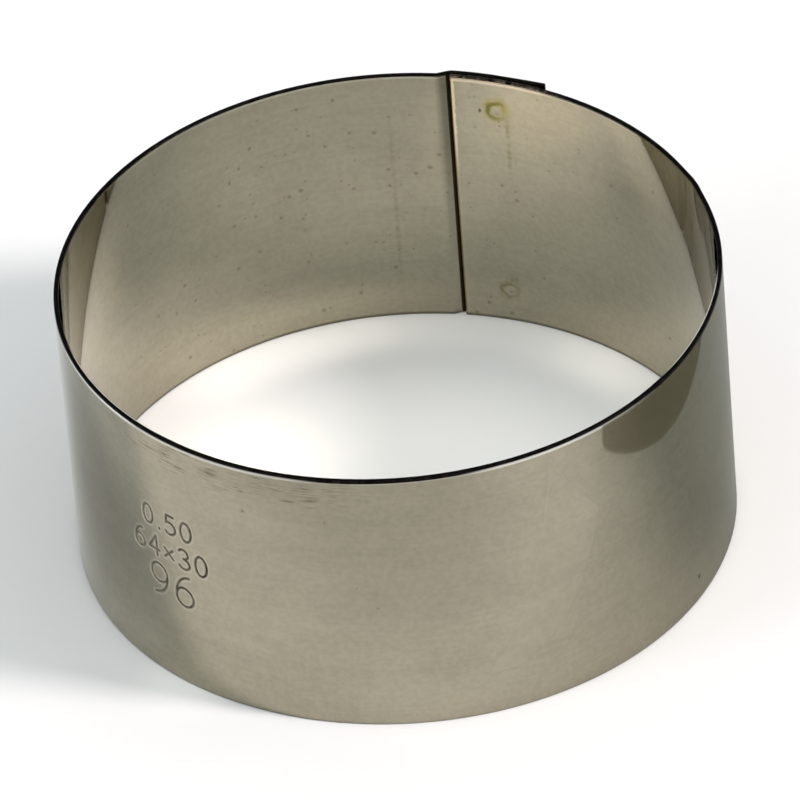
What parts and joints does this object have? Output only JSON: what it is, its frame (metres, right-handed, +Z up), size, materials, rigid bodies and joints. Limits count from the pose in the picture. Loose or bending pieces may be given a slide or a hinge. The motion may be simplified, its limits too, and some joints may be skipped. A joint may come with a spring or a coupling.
{
  "type": "pastry ring",
  "caption": "Open ring of rolled stainless sheet with a stepped, spot-welded lap seam, for shaping and cutting pastry and mousse.",
  "frame": {"origin": "on the ring's axis, in the plane of the lower rim", "axes": "+Z up along the ring's axis; the lap seam's weld line lies 67.7 degrees from +X towards +Y"},
  "size_m": [0.065, 0.065, 0.03],
  "materials": {
    "rolled_steel": "bright rolled sheet with fine scratches along the strip",
    "fused_steel": "as-welded, dull"
  },
  "bodies": {
    "root": {"ring_band": "rolled_steel", "upper_spot_weld": "fused_steel", "lower_spot_weld": "fused_steel"}
  },
  "joints": []
}
